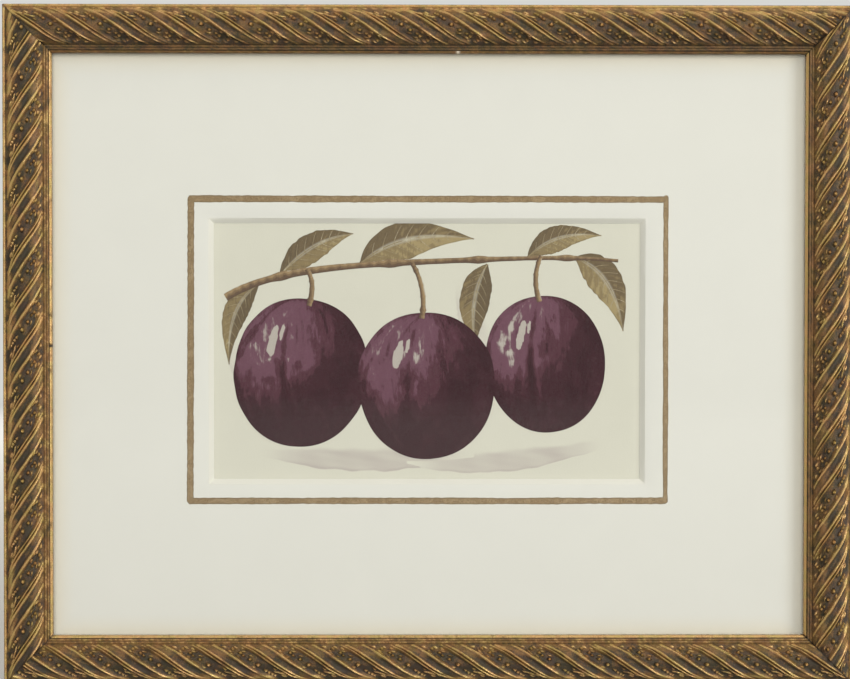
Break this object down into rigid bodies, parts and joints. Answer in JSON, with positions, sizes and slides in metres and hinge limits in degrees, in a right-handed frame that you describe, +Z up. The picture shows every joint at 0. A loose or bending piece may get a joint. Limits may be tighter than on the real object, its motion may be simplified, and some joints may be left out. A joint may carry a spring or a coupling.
{
  "type": "framed picture",
  "caption": "Small landscape picture in a mitred gilt rope-carved moulding, with glass, a bevelled window mat, and a sawtooth hanger on the papered back.",
  "frame": {"origin": "middle notch of the sawtooth hanger, at half the strip's thickness, where the nail in the wall carries the frame", "axes": "+X to the viewer's right along the frame's width, +Y into the wall, away from the picture's face, +Z up"},
  "size_m": [0.2514, 0.0192, 0.2005],
  "materials": {
    "gilt_moulding": "satin",
    "glass": "polished",
    "mat_board": "matte",
    "watercolour_paper": "matte",
    "hinge_tape": "matte",
    "mount_board": "matte",
    "filler_board": "matte",
    "kraft_paper": "matte",
    "steel": "satin",
    "brassed_steel": "satin",
    "felt": "matte"
  },
  "bodies": {
    "root": {"top_rail": "gilt_moulding", "right_rail": "gilt_moulding", "bottom_rail": "gilt_moulding", "left_rail": "gilt_moulding", "top_point_1": "steel", "top_point_2": "steel", "right_point_1": "steel", "right_point_2": "steel", "bottom_point_1": "steel", "bottom_point_2": "steel", "left_point_1": "steel", "left_point_2": "steel", "top_right_v_nail": "steel", "bottom_right_v_nail": "steel", "bottom_left_v_nail": "steel", "top_left_v_nail": "steel", "glass_pane": "glass", "window_mat": "mat_board", "artwork_sheet": "watercolour_paper", "left_hinge_tape": "hinge_tape", "right_hinge_tape": "hinge_tape", "mount_board": "mount_board", "filler_board": "filler_board", "dust_cover": "kraft_paper", "sawtooth_hanger": "brassed_steel", "left_hanger_screw": "brassed_steel", "right_hanger_screw": "brassed_steel", "left_felt_pad": "felt", "right_felt_pad": "felt"}
  },
  "joints": []
}
